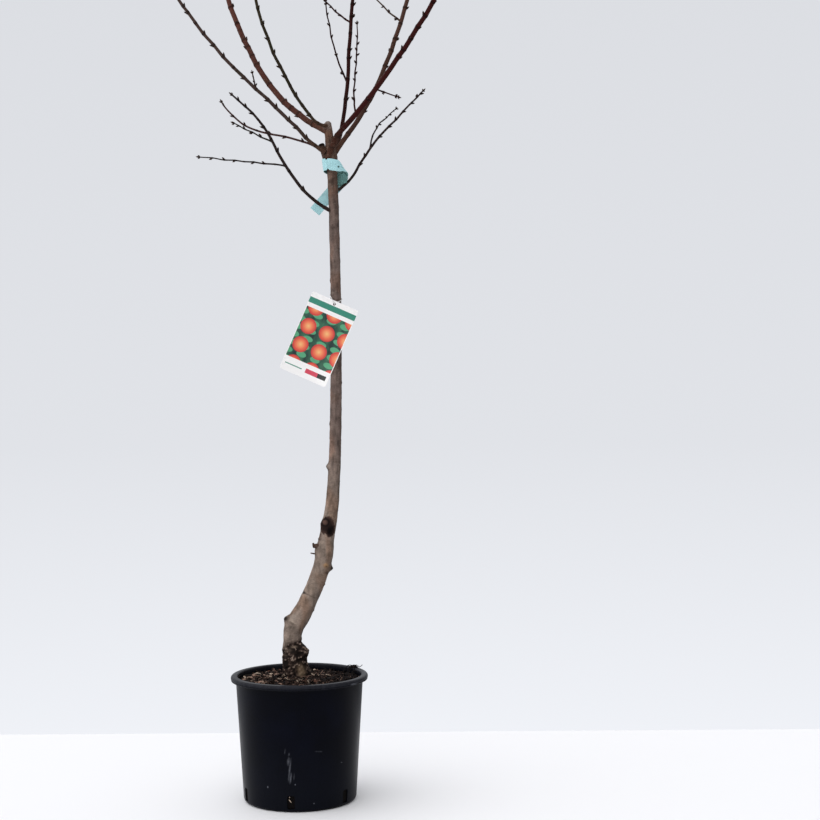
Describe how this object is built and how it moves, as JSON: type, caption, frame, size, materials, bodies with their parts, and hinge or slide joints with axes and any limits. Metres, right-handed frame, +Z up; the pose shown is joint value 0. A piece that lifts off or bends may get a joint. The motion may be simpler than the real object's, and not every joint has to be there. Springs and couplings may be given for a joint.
{
  "type": "potted nectarine tree",
  "caption": "Young bare nectarine tree with a crooked graft at its foot, a slim trunk and an open budded crown, in a round black nursery pot with a blank label band and a hang tag.",
  "frame": {"origin": "middle of the pot's flat underside, on the surface that it stands on", "axes": "+Z up along the tree, +X to the viewer's right, -Y towards the viewer"},
  "size_m": [0.7312, 0.55, 1.8957],
  "materials": {
    "pot_plastic": "satin black moulded plastic, lightly scuffed",
    "potting_mix": "crumbly damp mix with pale bark chips",
    "old_bark": "rough grey-brown bark",
    "bough_bark": "smooth red-brown bark with pale pores",
    "twig_bark": "smooth dark red-brown shoots with small buds",
    "printed_card": "glossy coated card with a plain printed pattern",
    "white_loop": "thin white cord",
    "blue_film": "pale blue label film"
  },
  "bodies": {
    "root": {"pot": "pot_plastic", "potting_mix": "potting_mix", "trunk": "old_bark", "bough_far_left": "bough_bark", "bough_left": "bough_bark", "bough_front_left": "bough_bark", "bough_low_left": "bough_bark", "bough_low_right": "bough_bark", "bough_front_right": "bough_bark", "bough_right": "bough_bark", "bough_back": "bough_bark", "twigs_far_left": "twig_bark", "twigs_left": "twig_bark", "twigs_front_left": "twig_bark", "twigs_low_left": "twig_bark", "twigs_low_right": "twig_bark", "twigs_front_right": "twig_bark", "twigs_right": "twig_bark", "twigs_back": "twig_bark", "twigs_stub": "twig_bark", "label_card": "printed_card", "label_loop": "white_loop", "label_band": "blue_film"}
  },
  "joints": []
}
